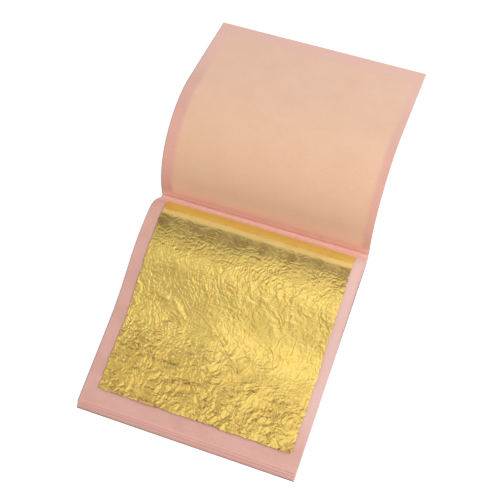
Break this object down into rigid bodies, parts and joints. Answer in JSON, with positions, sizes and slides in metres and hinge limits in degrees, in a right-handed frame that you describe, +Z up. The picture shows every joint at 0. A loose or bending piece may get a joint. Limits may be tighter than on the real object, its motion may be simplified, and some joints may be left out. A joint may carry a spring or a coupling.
{
  "type": "gold leaf booklet",
  "caption": "Open booklet of pink tissue pages sewn at the spine, with a sheet of gold leaf bare on the top page and turned pages that close over it.",
  "frame": {"origin": "middle of the back cover's underside, which lies on the table", "axes": "+X along the spine, +Y from the block's fore-edge to the turned flap, +Z up"},
  "size_m": [0.0892, 0.1719, 0.0306],
  "materials": {
    "tissue_paper": "matte rouged tissue",
    "cover_card": "matte card",
    "gold_leaf": "bright, crinkled beaten leaf",
    "linen_thread": "waxed linen thread"
  },
  "bodies": {
    "block": {"back_cover": "cover_card", "page_26": "tissue_paper", "page_25": "tissue_paper", "page_24": "tissue_paper", "page_23": "tissue_paper", "page_22": "tissue_paper", "page_21": "tissue_paper", "page_20": "tissue_paper", "page_19": "tissue_paper", "page_18": "tissue_paper", "page_17": "tissue_paper", "page_16": "tissue_paper", "page_15": "tissue_paper", "page_14": "tissue_paper", "page_13": "tissue_paper", "page_12": "tissue_paper", "page_11": "tissue_paper", "page_10": "tissue_paper", "page_09": "tissue_paper", "page_08": "tissue_paper", "page_07": "tissue_paper", "page_06": "tissue_paper", "page_05": "tissue_paper", "page_04": "tissue_paper", "page_03": "tissue_paper", "leaves_03_to_05": "gold_leaf", "leaves_06_to_08": "gold_leaf", "leaves_09_to_11": "gold_leaf", "leaves_12_to_14": "gold_leaf", "leaves_15_to_17": "gold_leaf", "leaves_18_to_20": "gold_leaf", "leaves_21_to_23": "gold_leaf", "leaves_24_to_25": "gold_leaf", "page_02_margin": "tissue_paper", "page_01_margin": "tissue_paper", "front_cover_margin": "cover_card", "sewing_thread": "linen_thread"},
    "flap_1": {"page_02_strip_1": "tissue_paper", "leaf_01_strip_1": "gold_leaf", "page_01_strip_1": "tissue_paper", "front_cover_strip_1": "cover_card"},
    "flap_2": {"page_02_strip_2": "tissue_paper", "leaf_01_strip_2": "gold_leaf", "page_01_strip_2": "tissue_paper", "front_cover_strip_2": "cover_card"},
    "flap_3": {"page_02_strip_3": "tissue_paper", "leaf_01_strip_3": "gold_leaf", "page_01_strip_3": "tissue_paper", "front_cover_strip_3": "cover_card"},
    "flap_4": {"page_02_strip_4": "tissue_paper", "leaf_01_strip_4": "gold_leaf", "page_01_strip_4": "tissue_paper", "front_cover_strip_4": "cover_card"},
    "flap_5": {"page_02_strip_5": "tissue_paper", "leaf_01_strip_5": "gold_leaf", "page_01_strip_5": "tissue_paper", "front_cover_strip_5": "cover_card"},
    "loose_leaf": {"leaf_02": "gold_leaf"}
  },
  "joints": [
    {"name": "flap_turn", "type": "hinge", "parent": "block", "child": "flap_1", "pos_m": [0, 0.04615, 0.00265], "axis": [1, 0, 0], "range_deg": [0, 43]},
    {"name": "flap_bend_2", "type": "hinge", "parent": "flap_1", "child": "flap_2", "pos_m": [0, 0.0499, 0.01399], "axis": [1, 0, 0], "range_deg": [0, 87]},
    {"name": "flap_bend_3", "type": "hinge", "parent": "flap_2", "child": "flap_3", "pos_m": [0, 0.05973, 0.02512], "axis": [1, 0, 0], "range_deg": [0, 34]},
    {"name": "flap_bend_4", "type": "hinge", "parent": "flap_3", "child": "flap_4", "pos_m": [0, 0.07362, 0.03041], "axis": [1, 0, 0], "range_deg": [0, 44.5]},
    {"name": "flap_bend_5", "type": "hinge", "parent": "flap_4", "child": "flap_5", "pos_m": [0, 0.08836, 0.02864], "axis": [1, 0, 0], "range_deg": [-5, 0]},
    {"name": "leaf_slip", "type": "slide", "parent": "block", "child": "loose_leaf", "axis": [1, 0, 0], "range_m": [-0.0055, 0.0035]}
  ],
  "couplings": [
    {"joint": "flap_bend_2", "follows": "flap_turn", "ratio": 2.0232},
    {"joint": "flap_bend_3", "follows": "flap_turn", "ratio": 0.7906},
    {"joint": "flap_bend_4", "follows": "flap_turn", "ratio": 1.0348},
    {"joint": "flap_bend_5", "follows": "flap_turn", "ratio": -0.1162}
  ]
}
